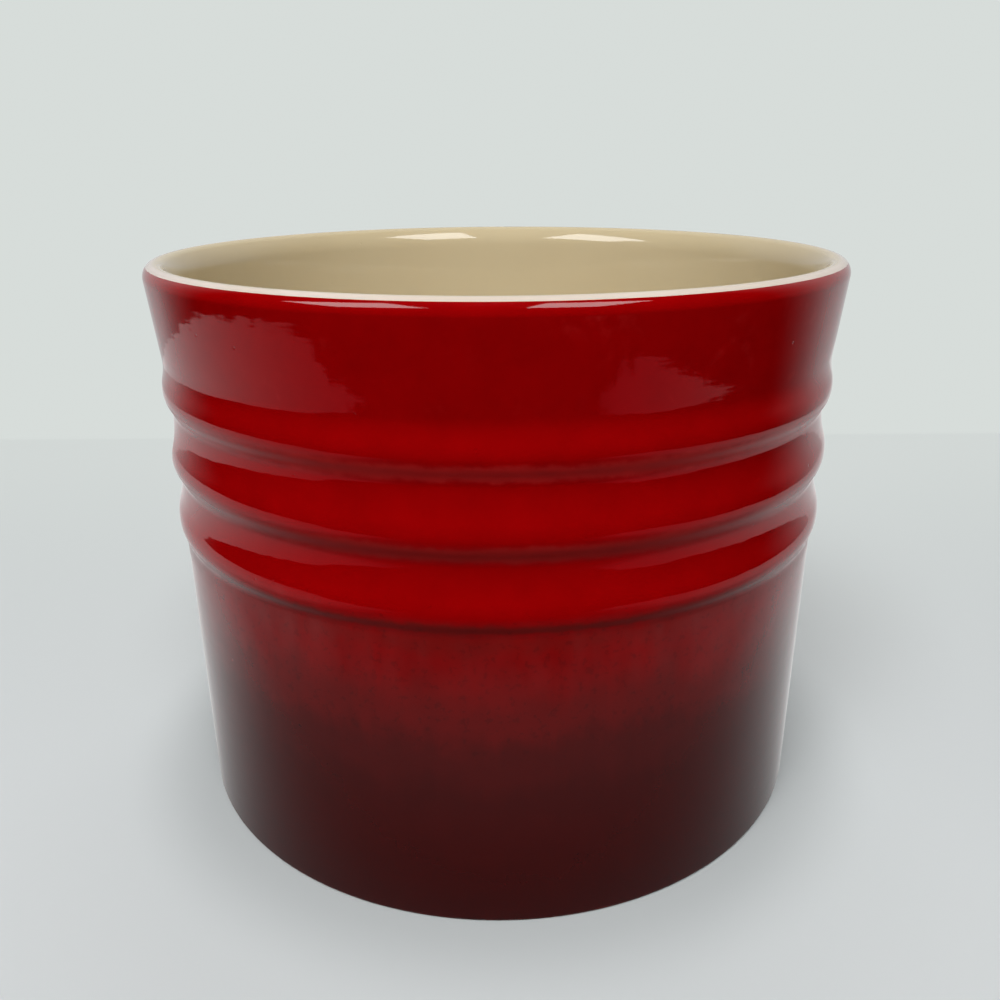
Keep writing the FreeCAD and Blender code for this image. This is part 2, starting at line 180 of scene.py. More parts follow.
@dataclass(frozen=True)
class PotShape:
    """Sizes of the crock in metres and degrees, with the glaze on."""

    height: float = 0.1410
    base_radius: float = 0.0852
    wall_lean: float = 0.1
    wall: float = 0.0064
    glaze: float = 0.0005
    ring_count: int = 3
    ring_rise: float = 0.0014
    ring_pitch: float = 0.0166
    lower_bend: float = 0.0060
    upper_bend: float = 0.0110
    groove_bend: float = 0.0054
    groove_depth: float = 0.00175
    collar_height: float = 0.0297
    collar_flare: float = 5.6
    neck_bend: float = 0.0140
    rim_rise: float = 0.0027
    rim_bend: float = 0.0035
    seam_turn: float = 44.0
    crown_bend: float = 0.0025
    lip_bend: float = 0.0105
    inner_bend: float = 0.0400
    floor: float = 0.0065
    floor_bend: float = 0.0120
    foot_bend: float = 0.0010
    foot_width: float = 0.0090
    recess_depth: float = 0.0020
    recess_bend: float = 0.0015
    glaze_line: float = 0.0004
    base_glaze_margin: float = 0.0025

    @property
    def crest(self) -> float:
        """Radius at the crest of a ring."""
        return self.base_radius + self.ring_rise

    @property
    def wall_way(self) -> Vector:
        """Upward direction of the lower wall."""
        return leaning(self.wall_lean)

    @property
    def collar_way(self) -> Vector:
        """Upward direction of the collar."""
        return leaning(self.collar_flare)

    @property
    def inside(self) -> float:
        """Radius of the inner wall below the collar."""
        return self.base_radius - self.wall

    @property
    def foot_inside(self) -> float:
        """Radius at the inner edge of the foot ring."""
        return self.base_radius - self.glaze - self.foot_bend - self.foot_width

    @property
    def floor_top(self) -> float:
        """Height of the floor inside."""
        return self.recess_depth + self.floor

    def crest_height(self, number: int) -> float:
        """Height of a ring's crest, counted from the lowest ring."""
        lowest = self.height - self.collar_height - (self.ring_count - 1) * self.ring_pitch
        return lowest + number * self.ring_pitch

    def under_ring(self, number: int) -> Vector:
        """Centre of the round under a ring's crest."""
        return Vector((self.crest - self.lower_bend, self.crest_height(number)))

    def over_ring(self, number: int) -> Vector:
        """Centre of the round over a ring's crest."""
        return Vector((self.crest - self.upper_bend, self.crest_height(number)))

    @property
    def groove_drop(self) -> float:
        """Height of a ring's crest above the bottom of the groove below it."""
        under = self.lower_bend + self.groove_bend
        return math.sqrt(self.groove_depth * (2 * under - self.groove_depth))

    def bottom(self, number: int) -> Vector:
        """Bottom of the groove below a ring other than the lowest."""
        return Vector((self.crest - self.groove_depth, self.crest_height(number) - self.groove_drop))

    def groove(self, number: int) -> Vector:
        """Finds the centre of the short hollow below a ring.

        Args:
            number: Which ring, counted from the lowest.

        Returns:
            The centre.
        """
        if number > 0:
            return self.bottom(number) + Vector((self.groove_bend, 0.0))
        foot = Vector((self.base_radius, 0.0))
        reach = self.lower_bend + self.groove_bend
        return beside(foot, self.wall_way, self.groove_bend, self.under_ring(0), reach, -1)

    def slope(self, number: int) -> Vector:
        """Finds the centre of the long hollow above a ring other than the top one.

        Args:
            number: Which ring, counted from the lowest.

        Returns:
            The centre.
        """
        fall = self.ring_pitch - self.groove_drop
        reach = (self.groove_depth**2 + fall**2) / (2 * self.groove_depth)
        return self.bottom(number + 1) + Vector((reach - self.upper_bend, 0.0))

    def rim_corner(self, inset: float = 0.0) -> Vector:
        """Corner that the rim's round cuts off, moved in by inset."""
        return Vector((self.base_radius + self.rim_rise - inset, self.height))

    def neck(self) -> Vector:
        """Finds the centre of the hollow between the top ring and the collar.

        Returns:
            The centre.
        """
        reach = self.upper_bend + self.neck_bend
        top_ring = self.over_ring(self.ring_count - 1)
        return beside(self.rim_corner(), self.collar_way, self.neck_bend, top_ring, reach, 1)

    @property
    def seam_way(self) -> Vector:
        """Direction from the rim's rounds to the seam between red and cream."""
        return right_of(leaning(-self.seam_turn))

    def edge(self) -> Vector:
        """Centre of the round on the rim's outer edge."""
        drop = self.crown_bend + (self.rim_bend - self.crown_bend) * self.seam_way.y
        return at_height(self.rim_corner(), self.collar_way, -self.rim_bend, self.height - drop)

    def crown(self) -> Vector:
        """Centre of the round on top of the rim."""
        return self.edge() + self.seam_way * (self.rim_bend - self.crown_bend)

    def lip(self) -> Vector:
        """Centre of the round on the rim's inner edge."""
        reach = self.lip_bend - self.crown_bend
        return beside(self.rim_corner(self.wall), self.collar_way, self.lip_bend, self.crown(), reach, -1)

    def draw_outside(self, depth: float, face: Face, whole_foot: bool) -> Stroke:
        """Draws the outside from the foot to the start of the rim's round.

        Args:
            depth: How far the drawn face lies under the glaze face.
            face: How closely it is divided.
            whole_foot: True to start on the standing face, False at the glaze line.

        Returns:
            The stroke, with its pen at the top of the collar.
        """
        out_wall = right_of(self.wall_way)
        out_collar = right_of(self.collar_way)
        foot_round = self.foot_bend + self.glaze
        centre = at_height(Vector((self.base_radius, 0.0)), self.wall_way, -foot_round, self.foot_bend)
        reach = foot_round - depth
        fall = (0.0 if whole_foot else self.glaze_line) - centre.y
        start = centre + Vector((math.sqrt(max(reach**2 - fall**2, 0.0)), fall))
        stroke = Stroke(start, depth, face)
        stroke.arc(centre, centre + out_wall * reach, Turn.LEFT)
        stroke.line(self.groove(0) - out_wall * (self.groove_bend + depth))
        for number in range(self.ring_count):
            self.draw_ring(stroke, number, depth)
        neck = self.neck()
        stroke.arc(neck, neck - out_collar * (self.neck_bend + depth), Turn.RIGHT)
        stroke.line(self.edge() + out_collar * (self.rim_bend - depth))
        return stroke

    def draw_ring(self, stroke: Stroke, number: int, depth: float) -> None:
        """Draws one ring with the hollows below and above it.

        Args:
            stroke: Outline to draw on.
            number: Which ring, counted from the lowest.
            depth: How far the drawn face lies under the glaze face.
        """
        hollow = self.groove(number)
        under = self.under_ring(number)
        over = self.over_ring(number)
        last = number + 1 == self.ring_count
        above = self.neck() if last else self.slope(number)
        stroke.arc(hollow, part_way(under, hollow, self.lower_bend - depth), Turn.RIGHT)
        stroke.arc(under, under + Vector((self.lower_bend - depth, 0.0)), Turn.LEFT)
        stroke.arc(over, part_way(over, above, self.upper_bend - depth), Turn.LEFT)
        if not last:
            stroke.arc(above, self.bottom(number + 1) - Vector((depth, 0.0)), Turn.RIGHT)

    def seam(self, depth: float) -> Vector:
        """Place on the rim's round where red meets cream."""
        return self.edge() + self.seam_way * (self.rim_bend - depth)

    def draw_inside(self, stroke: Stroke, depth: float) -> None:
        """Draws the rim from the seam, the inner wall and the floor to the axis.

        Args:
            stroke: Outline to draw on, with its pen at the seam.
            depth: How far the drawn face lies under the glaze face.
        """
        out_collar = right_of(self.collar_way)
        crown = self.crown()
        lip = self.lip()
        stroke.arc(crown, part_way(lip, crown, self.lip_bend - depth), Turn.LEFT)
        stroke.arc(lip, lip - out_collar * (self.lip_bend - depth), Turn.LEFT)
        bend = self.rim_corner(self.wall) + out_collar * self.inner_bend
        bend += self.collar_way * ((self.inside + self.inner_bend - bend.x) / self.collar_way.x)
        reach = self.inner_bend - depth
        stroke.line(bend - out_collar * reach)
        stroke.arc(bend, Vector((bend.x - reach, bend.y)), Turn.LEFT)
        corner = Vector((self.inside - self.floor_bend, self.floor_top + self.floor_bend))
        stroke.line(Vector((self.inside + depth, corner.y)))
        stroke.arc(corner, Vector((corner.x, self.floor_top - depth)), Turn.RIGHT)
        stroke.line(Vector((0.0, self.floor_top - depth)))

    def draw_underside(self) -> Stroke:
        """Draws the recess under the base, from the axis out to the edge of the standing face.

        Returns:
            The stroke, with its pen on the standing face.
        """
        turn = self.foot_inside - self.recess_bend
        centre = Vector((turn, self.recess_depth - self.recess_bend))
        stroke = Stroke(Vector((0.0, self.recess_depth)), self.glaze, Face.SHOWN)
        stroke.line(Vector((turn, self.recess_depth)))
        stroke.arc(centre, Vector((self.foot_inside, centre.y)), Turn.RIGHT)
        stroke.line(Vector((self.foot_inside, 0.0)))
        return stroke


@dataclass(frozen=True)
class PadShape:
    """Smooth pad let into one ring on the -X side, with hollow ends. Metres."""

    ring: int = 1
    width: float = 0.0720
    drop: float = 0.0016
    end_bend: float = 0.0040
    softness: float = 0.00015

    def values(self, pot: PotShape) -> dict[str, float]:
        """Works out the inputs of the turning tree.

        Args:
            pot: Shape of the pot that carries the pad.

        Returns:
            Values by the name of the tree's input.
        """
        reach = pot.crest - self.drop + self.end_bend
        return {
            "Pad Reach": reach,
            "Pad End Bend": self.end_bend,
            "Pad Turn": math.asin((self.width / 2 - self.end_bend) / reach),
            "Pad Low": pot.bottom(self.ring).y,
            "Pad High": pot.bottom(self.ring + 1).y,
            "Pad Softness": self.softness,
        }


class Wiring:
    """Adds nodes to a node tree and joins their sockets."""

    def __init__(self, tree: bpy.types.NodeTree) -> None:
        """Takes the tree to work on."""
        self.tree = tree

    def add(
        self, kind: str, inputs: dict[str | int, Input] | None = None, **settings: object
    ) -> bpy.types.Node:
        """Adds one node.

        Args:
            kind: Blender's name of the node type.
            inputs: Values or sockets for its inputs, by name, identifier or number.
            **settings: Properties of the node.

        Returns:
            The new node.
        """
        node = self.tree.nodes.new(kind)
        for name, value in settings.items():
            setattr(node, name, value)
        for key, value in (inputs or {}).items():
            self.feed(self.find(node, key), value)
        return node

    def find(self, node: bpy.types.Node, key: str | int) -> Socket:
        """Input of a node by identifier, name or number."""
        known = {socket.identifier: socket for socket in node.inputs}
        return known[key] if key in known else node.inputs[key]

    def feed(self, socket: Socket, value: Input) -> None:
        """Joins a socket to another one, or sets its value.

        Args:
            socket: Input to fill.
            value: Output to join it to, or a plain value.
        """
        if isinstance(value, bpy.types.NodeSocket):
            self.tree.links.new(value, socket)
        else:
            socket.default_value = value

    def math(self, operation: str, *values: Input) -> Socket:
        """Result of a Math node."""
        return self.add("ShaderNodeMath", dict(enumerate(values)), operation=operation).outputs[0]

    def times(self, *values: Input) -> Socket:
        """Product of the values."""
        return reduce(partial(self.math, "MULTIPLY"), values)

    def total(self, *values: Input) -> Socket:
        """Sum of the values."""
        return reduce(partial(self.math, "ADD"), values)

    def minus(self, first: Input, second: Input) -> Socket:
        """First value less the second."""
        return self.math("SUBTRACT", first, second)

    def most(self, first: Input, second: Input) -> Socket:
        """Greater one of two values."""
        return self.math("MAXIMUM", first, second)

    def whole(self, operation: str, *values: Input) -> Socket:
        """Result of an Integer Math node."""
        return self.add("FunctionNodeIntegerMath", dict(enumerate(values)), operation=operation).outputs[0]

    def remap(
        self, value: Input, start: float, end: float, low: float = 0.0, high: float = 1.0,
        kind: str = "SMOOTHSTEP",
    ) -> Socket:
        """Adds a Map Range node.

        Args:
            value: What is mapped.
            start: Value that becomes low.
            end: Value that becomes high.
            low: Result at start.
            high: Result at end.
            kind: How the result runs from low to high.

        Returns:
            The mapped value.
        """
        inputs = {"Value": value, "From Min": start, "From Max": end, "To Min": low, "To Max": high}
        return self.add("ShaderNodeMapRange", inputs, interpolation_type=kind).outputs[0]

    def noise(self, place: Socket, scale: Input, detail: float = 2.0, roughness: float = 0.5) -> Socket:
        """Adds a noise texture.

        Args:
            place: Coordinates.
            scale: Waves per metre.
            detail: Number of finer layers.
            roughness: Strength of the finer layers.

        Returns:
            A value about one half.
        """
        inputs = {"Vector": place, "Scale": scale, "Detail": detail, "Roughness": roughness}
        return self.add("ShaderNodeTexNoise", inputs).outputs[0]

    def stretch(self, place: Socket, scale: tuple[float, float, float]) -> Socket:
        """Coordinates multiplied axis by axis."""
        return self.add("ShaderNodeVectorMath", {0: place, 1: scale}, operation="MULTIPLY").outputs[0]

    def scaled(self, colour: Input, tone: Socket) -> Socket:
        """Colour multiplied by a tone."""
        return self.add("ShaderNodeVectorMath", {0: colour, "Scale": tone}, operation="SCALE").outputs[0]

    def length(self, place: Socket) -> Socket:
        """Distance of coordinates from the origin."""
        return self.add("ShaderNodeVectorMath", {0: place}, operation="LENGTH").outputs["Value"]

    def split(self, place: Socket) -> tuple[Socket, ...]:
        """X, Y and Z of coordinates."""
        return tuple(self.add("ShaderNodeSeparateXYZ", {0: place}).outputs)

    def blend(self, share: Input, first: Input, second: Input) -> Socket:
        """Mixes two colours.

        Args:
            share: 0 for the first colour, 1 for the second.
            first: First colour.
            second: Second colour.

        Returns:
            The mixed colour.
        """
        inputs = {"Factor_Float": share, "A_Color": first, "B_Color": second}
        node = self.add("ShaderNodeMix", inputs, data_type="RGBA")
        return next(socket for socket in node.outputs if socket.identifier == "Result_Color")

    def ramp(self, value: Socket, stops: tuple[tuple[float, Colour], ...]) -> Socket:
        """Adds a colour ramp.

        Args:
            value: Place on the ramp.
            stops: Places and colours.

        Returns:
            The colour at that place.
        """
        node = self.add("ShaderNodeValToRGB", {0: value})
        node.color_ramp.interpolation = "EASE"
        elements = node.color_ramp.elements
        while len(elements) < len(stops):
            elements.new(1.0)
        for element, (place, colour) in zip(elements, stops):
            element.position = place
            element.color = colour
        return node.outputs[0]


class TurningTree:
    """Geometry Nodes tree that turns a section about the Z axis and presses the pad into it."""

    COLUMN_KNOTS = ((0.22, 0.115), (0.44, 0.160))
    MERGE = 1e-6
    CREASE = math.radians(35.0)
    UPRIGHT_DROP = 0.0003
    PAD_INPUTS = ("Pad Reach", "Pad End Bend", "Pad Turn", "Pad Low", "Pad High", "Pad Softness")

    def __init__(self) -> None:
        """Builds the tree."""
        self.tree = bpy.data.node_groups.new("turned_piece", "GeometryNodeTree")
        kinds = {"Geometry": "NodeSocketGeometry", "Columns": "NodeSocketInt"}
        kinds |= dict.fromkeys(self.PAD_INPUTS, "NodeSocketFloat")
        kinds["Material"] = "NodeSocketMaterial"
        face = self.tree.interface
        self.sockets = {
            name: face.new_socket(name, in_out="INPUT", socket_type=kind) for name, kind in kinds.items()
        }
        face.new_socket("Geometry", in_out="OUTPUT", socket_type=kinds["Geometry"])
        self.wire = Wiring(self.tree)
        self.given = self.wire.add("NodeGroupInput").outputs
        self.lay_out()

    def sample(self, kind: str, value: Socket, row: Socket) -> Socket:
        """Value of the section at a row of the grid."""
        inputs = {"Geometry": self.given["Geometry"], "Value": value, "Index": row}
        return self.wire.add("GeometryNodeSampleIndex", inputs, data_type=kind, domain="POINT").outputs[0]

    def attribute(self, name: str) -> Socket:
        """Named value of the section."""
        node = self.wire.add("GeometryNodeInputNamedAttribute", {"Name": name}, data_type="FLOAT")
        return node.outputs[0]

    def angle(self, column: Socket) -> Socket:
        """Angle of a column from the -X side, with columns closer together near the pad.

        Args:
            column: Number of the column.

        Returns:
            The angle in radians, from minus half a turn to half a turn.
        """
        wire = self.wire
        share = wire.math("DIVIDE", column, self.given["Columns"])
        side = wire.math("MULTIPLY_ADD", share, 2.0, -1.0)
        curve = wire.add("ShaderNodeFloatCurve", {"Value": wire.math("ABSOLUTE", side)})
        line = curve.mapping.curves[0]
        for place, height in self.COLUMN_KNOTS:
            line.points.new(place, height)
        for knot in line.points:
            knot.handle_type = "VECTOR"
        curve.mapping.update()
        return wire.times(curve.outputs[0], math.pi, wire.math("SIGN", side))

    def pressed(self, radius: Socket, height: Socket, depth: Socket, angle: Socket) -> Socket:
        """How far the pad is pressed in.

        Args:
            radius: Radius of the turned face.
            height: Height of the point.
            depth: How far the face lies under the glaze face.
            angle: Angle from the middle of the pad.

        Returns:
            The change of radius, zero or less.
        """
        wire = self.wire
        past_end = wire.most(wire.minus(wire.math("ABSOLUTE", angle), self.given["Pad Turn"]), 0.0)
        ahead = wire.times(self.given["Pad Reach"], wire.math("COSINE", past_end))
        aside = wire.times(self.given["Pad Reach"], wire.math("SINE", past_end))
        bend = wire.total(self.given["Pad End Bend"], depth)
        room = wire.minus(wire.times(bend, bend), wire.times(aside, aside))
        hollow = wire.minus(ahead, wire.math("SQRT", wire.most(room, 0.0)))
        # Beyond the pad's end the hollow is put a metre out, so the ring keeps its radius there.
        face = wire.total(hollow, wire.math("LESS_THAN", room, 0.0))
        soft = wire.math("SMOOTH_MIN", radius, face, self.given["Pad Softness"])
        above = wire.math("GREATER_THAN", height, self.given["Pad Low"])
        below = wire.math("LESS_THAN", height, self.given["Pad High"])
        return wire.times(wire.minus(soft, radius), wire.times(above, below))

    def lay_out(self) -> None:
        """Adds every node of the tree."""
        wire = self.wire
        section = {"Geometry": self.given["Geometry"]}
        size = wire.add("GeometryNodeAttributeDomainSize", section, component="MESH")
        rows = size.outputs["Point Count"]
        columns = wire.whole("ADD", self.given["Columns"], 1)
        grid = wire.add("GeometryNodeMeshGrid", {"Vertices X": rows, "Vertices Y": columns})
        index = wire.add("GeometryNodeInputIndex").outputs[0]
        row = wire.whole("DIVIDE_FLOOR", index, columns)
        place = self.sample("FLOAT_VECTOR", wire.add("GeometryNodeInputPosition").outputs[0], row)
        depth = self.sample("FLOAT", self.attribute("depth"), row)
        tilt = self.sample("FLOAT", self.attribute("tilt"), row)
        across, _, up = wire.split(place)
        angle = self.angle(wire.whole("MODULO", index, columns))
        drop = self.pressed(across, up, depth, angle)
        radius = wire.total(across, drop)
        spot = wire.add("ShaderNodeCombineXYZ", {
            "X": wire.times(radius, wire.times(wire.math("COSINE", angle), -1.0)),
            "Y": wire.times(radius, wire.math("SINE", angle)),
            "Z": up,
        }).outputs[0]
        marked = wire.add("GeometryNodeStoreNamedAttribute", {
            "Geometry": grid.outputs["Mesh"],
            "Name": "tilt",
            "Value": wire.times(tilt, wire.remap(drop, -self.UPRIGHT_DROP, 0.0)),
        }, data_type="FLOAT", domain="POINT")
        turned = wire.add("GeometryNodeSetPosition", {"Geometry": marked.outputs[0], "Position": spot})
        self.finish(turned.outputs[0])

    def finish(self, geometry: Socket) -> None:
        """Closes seams and poles, shades the faces and gives them their material.

        Args:
            geometry: The turned grid.
        """
        wire = self.wire
        closed = wire.add("GeometryNodeMergeByDistance", {"Geometry": geometry, "Distance": self.MERGE})
        smooth = wire.add("GeometryNodeSetShadeSmooth", {"Geometry": closed.outputs[0]}, domain="FACE")
        corner = wire.add("GeometryNodeInputMeshEdgeAngle").outputs["Unsigned Angle"]
        sharp = wire.add("GeometryNodeSetShadeSmooth", {
            "Geometry": smooth.outputs[0],
            "Selection": wire.math("GREATER_THAN", corner, self.CREASE),
            "Shade Smooth": False,
        }, domain="EDGE")
        real = wire.add("GeometryNodeRealizeInstances", {"Geometry": sharp.outputs[0]})
        dressed = wire.add("GeometryNodeSetMaterial", {
            "Geometry": real.outputs[0],
            "Material": self.given["Material"],
        })
        wire.add("NodeGroupOutput", {"Geometry": dressed.outputs[0]})

    def turn(self, name: str, points: list[SectionPoint], values: dict[str, Input]) -> bpy.types.Object:
        """Turns a section into a plain mesh.

        Args:
            name: Name of the piece.
            points: Section, from pole to pole or closed on itself.
            values: Inputs of the tree by name.

        Returns:
            The finished object, at the origin.
        """
        line = bpy.data.meshes.new(name + "_section")
        steps = [(number, number + 1) for number in range(len(points) - 1)]
        line.from_pydata([(point.across, 0.0, point.up) for point in points], steps, [])
        for key in ("depth", "tilt"):
            store = line.attributes.new(key, "FLOAT", "POINT")
            store.data.foreach_set("value", [getattr(point, key) for point in points])
        section = bpy.data.objects.new(name + "_section", line)
        bpy.context.scene.collection.objects.link(section)
        modifier = section.modifiers.new("turned", "NODES")
        modifier.node_group = self.tree
        for key, value in values.items():
            modifier[self.sockets[key].identifier] = value
        bpy.context.view_layer.update()
        solid = section.evaluated_get(bpy.context.evaluated_depsgraph_get())
        mesh = bpy.data.meshes.new_from_object(solid)
        section.modifiers.remove(modifier)
        bpy.data.objects.remove(section)
        bpy.data.meshes.remove(line)
        mesh.name = name
        self.face_outwards(mesh)
        piece = bpy.data.objects.new(name, mesh)
        bpy.context.scene.collection.objects.link(piece)
        return piece

    def face_outwards(self, mesh: bpy.types.Mesh) -> None:
        """Turns a closed mesh the right way out.

        Args:
            mesh: Mesh to change.
        """
        shape = bmesh.new()
        shape.from_mesh(mesh)
        if shape.calc_volume(signed=True) < 0:
            bmesh.ops.reverse_faces(shape, faces=shape.faces)
        shape.to_mesh(mesh)
        shape.free()


class SurfaceGroups:
    """Shader node groups that the finishes share. Scales in waves per metre."""

    CLOUD_SPAN = (0.28, 0.72)
    WAVES = 45.0
    PEEL = 420.0
    RIDGES = 330.0
    RIDGE_STRETCH = (0.2, 0.2, 1.0)
    PINHOLES = 260.0
    PINHOLE_SPAN = (0.05, 0.11)
    PATCHES = 70.0
    PATCH_EDGE = 0.66
    SPECK_LEVEL = 0.75
    SPECK_RANGE = 0.25
    SPECK_SHARPNESS = 12.0

    def __init__(self) -> None:
        """Builds each group once."""
        self.clouds = self.make_clouds()
        self.skin = self.make_skin()
        self.specks = self.make_specks()

    def start(self, name: str, result: str, *sizes: str) -> Wiring:
        """Starts a group that takes a place and some sizes and gives one value.

        Args:
            name: Name of the group.
            result: Name of its output.
            *sizes: Names of its inputs after the place.

        Returns:
            The wiring of the group's tree.
        """
        tree = bpy.data.node_groups.new(name, "ShaderNodeTree")
        tree.interface.new_socket("Place", in_out="INPUT", socket_type="NodeSocketVector")
        for size in sizes:
            tree.interface.new_socket(size, in_out="INPUT", socket_type="NodeSocketFloat")
        tree.interface.new_socket(result, in_out="OUTPUT", socket_type="NodeSocketFloat")
        return Wiring(tree)

    def make_clouds(self) -> bpy.types.NodeTree:
        """Makes soft clouds of tone, from about -1 to 1, with finer clouds in them.

        Returns:
            The group's tree.
        """
        wire = self.start("glaze_clouds", "Tone", "Scale")
        given = wire.add("NodeGroupInput").outputs
        broad = wire.noise(given["Place"], given["Scale"], detail=3.0, roughness=0.55)
        tone = wire.remap(broad, *self.CLOUD_SPAN, -1.0, 1.0, kind="LINEAR")
        wire.add("NodeGroupOutput", {"Tone": tone})
        return wire.tree

    def make_skin(self) -> bpy.types.NodeTree:
        """Makes the height of a fired glaze: slow waves, turned ridges, orange peel and a few pinholes.

        Returns:
            The group's tree.
        """
        wire = self.start("glaze_skin", "Height", "Wave", "Peel", "Pinhole", "Ridge")
        given = wire.add("NodeGroupInput").outputs
        place = given["Place"]
        wave = wire.times(wire.noise(place, self.WAVES, detail=1.0), given["Wave"])
        peel = wire.times(wire.noise(place, self.PEEL), given["Peel"])
        cells = wire.add("ShaderNodeTexVoronoi", {"Vector": place, "Scale": self.PINHOLES})
        dot = wire.remap(cells.outputs["Distance"], *self.PINHOLE_SPAN, 1.0, 0.0)
        rare = wire.math("GREATER_THAN", wire.noise(place, self.PATCHES, detail=0.0), self.PATCH_EDGE)
        pit = wire.times(dot, rare, given["Pinhole"])
        level = wire.stretch(place, self.RIDGE_STRETCH)
        ridge = wire.times(wire.noise(level, self.RIDGES), given["Ridge"])
        wire.add("NodeGroupOutput", {"Height": wire.minus(wire.total(wave, ridge, peel), pit)})
        return wire.tree

    def make_specks(self) -> bpy.types.NodeTree:
        """Makes a mask of small irregular specks.

        Returns:
            The group's tree.
        """
        wire = self.start("glaze_specks", "Specks", "Scale", "Cover")
        given = wire.add("NodeGroupInput").outputs
        grains = wire.noise(given["Place"], given["Scale"], detail=4.0, roughness=0.65)
        level = wire.minus(self.SPECK_LEVEL, wire.times(given["Cover"], self.SPECK_RANGE))
        mask = wire.times(wire.minus(grains, level), self.SPECK_SHARPNESS)
        clear = wire.add("ShaderNodeClamp", {"Value": mask}).outputs[0]
        wire.add("NodeGroupOutput", {"Specks": clear})
        return wire.tree


class Finish:
    """Surface of one kind: a material with a Principled shader."""

    name = "finish"

    def __init__(self, groups: SurfaceGroups) -> None:
        """Makes the material.

        Args:
            groups: Shared node groups.
        """
        self.groups = groups
        self.material = bpy.data.materials.new(self.name)
        self.material.use_nodes = True
        tree = self.material.node_tree
        tree.nodes.clear()
        self.wire = Wiring(tree)
        self.shader = self.wire.add("ShaderNodeBsdfPrincipled")
        self.wire.add("ShaderNodeOutputMaterial", {"Surface": self.shader.outputs[0]})
        self.place = self.wire.add("ShaderNodeTexCoord").outputs["Object"]
        self.build()

    def build(self) -> None:
        """Joins the nodes that give colour, gloss and relief."""
        raise NotImplementedError

    def tone(self, scale: float, place: Socket) -> Socket:
        """Soft clouds of tone, from about -1 to 1."""
        inputs = {"Place": place, "Scale": scale}
        return self.wire.add("ShaderNodeGroup", inputs, node_tree=self.groups.clouds).outputs[0]

    def dots(self, scale: float, cover: Input) -> Socket:
        """Mask of small specks, which are more where the cover is more."""
        inputs = {"Place": self.place, "Scale": scale, "Cover": cover}
        return self.wire.add("ShaderNodeGroup", inputs, node_tree=self.groups.specks).outputs[0]

    def bump(self, height: Socket) -> Socket:
        """Normal of a height in metres."""
        inputs = {"Strength": 1.0, "Distance": 1.0, "Height": height}
        return self.wire.add("ShaderNodeBump", inputs).outputs[0]

    def set(self, **values: Input) -> None:
        """Sets inputs of the shader, with underscores for spaces."""
        for name, value in values.items():
            self.wire.feed(self.shader.inputs[name.replace("_", " ")], value)


class Glaze(Finish):
    """Fired glaze: a glossy coat with waves, peel, pinholes and ridges in its skin. Depths in metres."""

    IOR = 1.5
    SKIN: dict[str, float] = {}

    def coat(self, colour: Socket, rough: Socket) -> None:
        """Sets the colour, the gloss and the skin.

        Args:
            colour: Colour of the glaze.
            rough: Roughness of its gloss.
        """
        inputs = {"Place": self.place, **self.SKIN}
        skin = self.wire.add("ShaderNodeGroup", inputs, node_tree=self.groups.skin).outputs[0]
        self.set(Base_Color=colour, Roughness=rough, IOR=self.IOR, Normal=self.bump(skin))


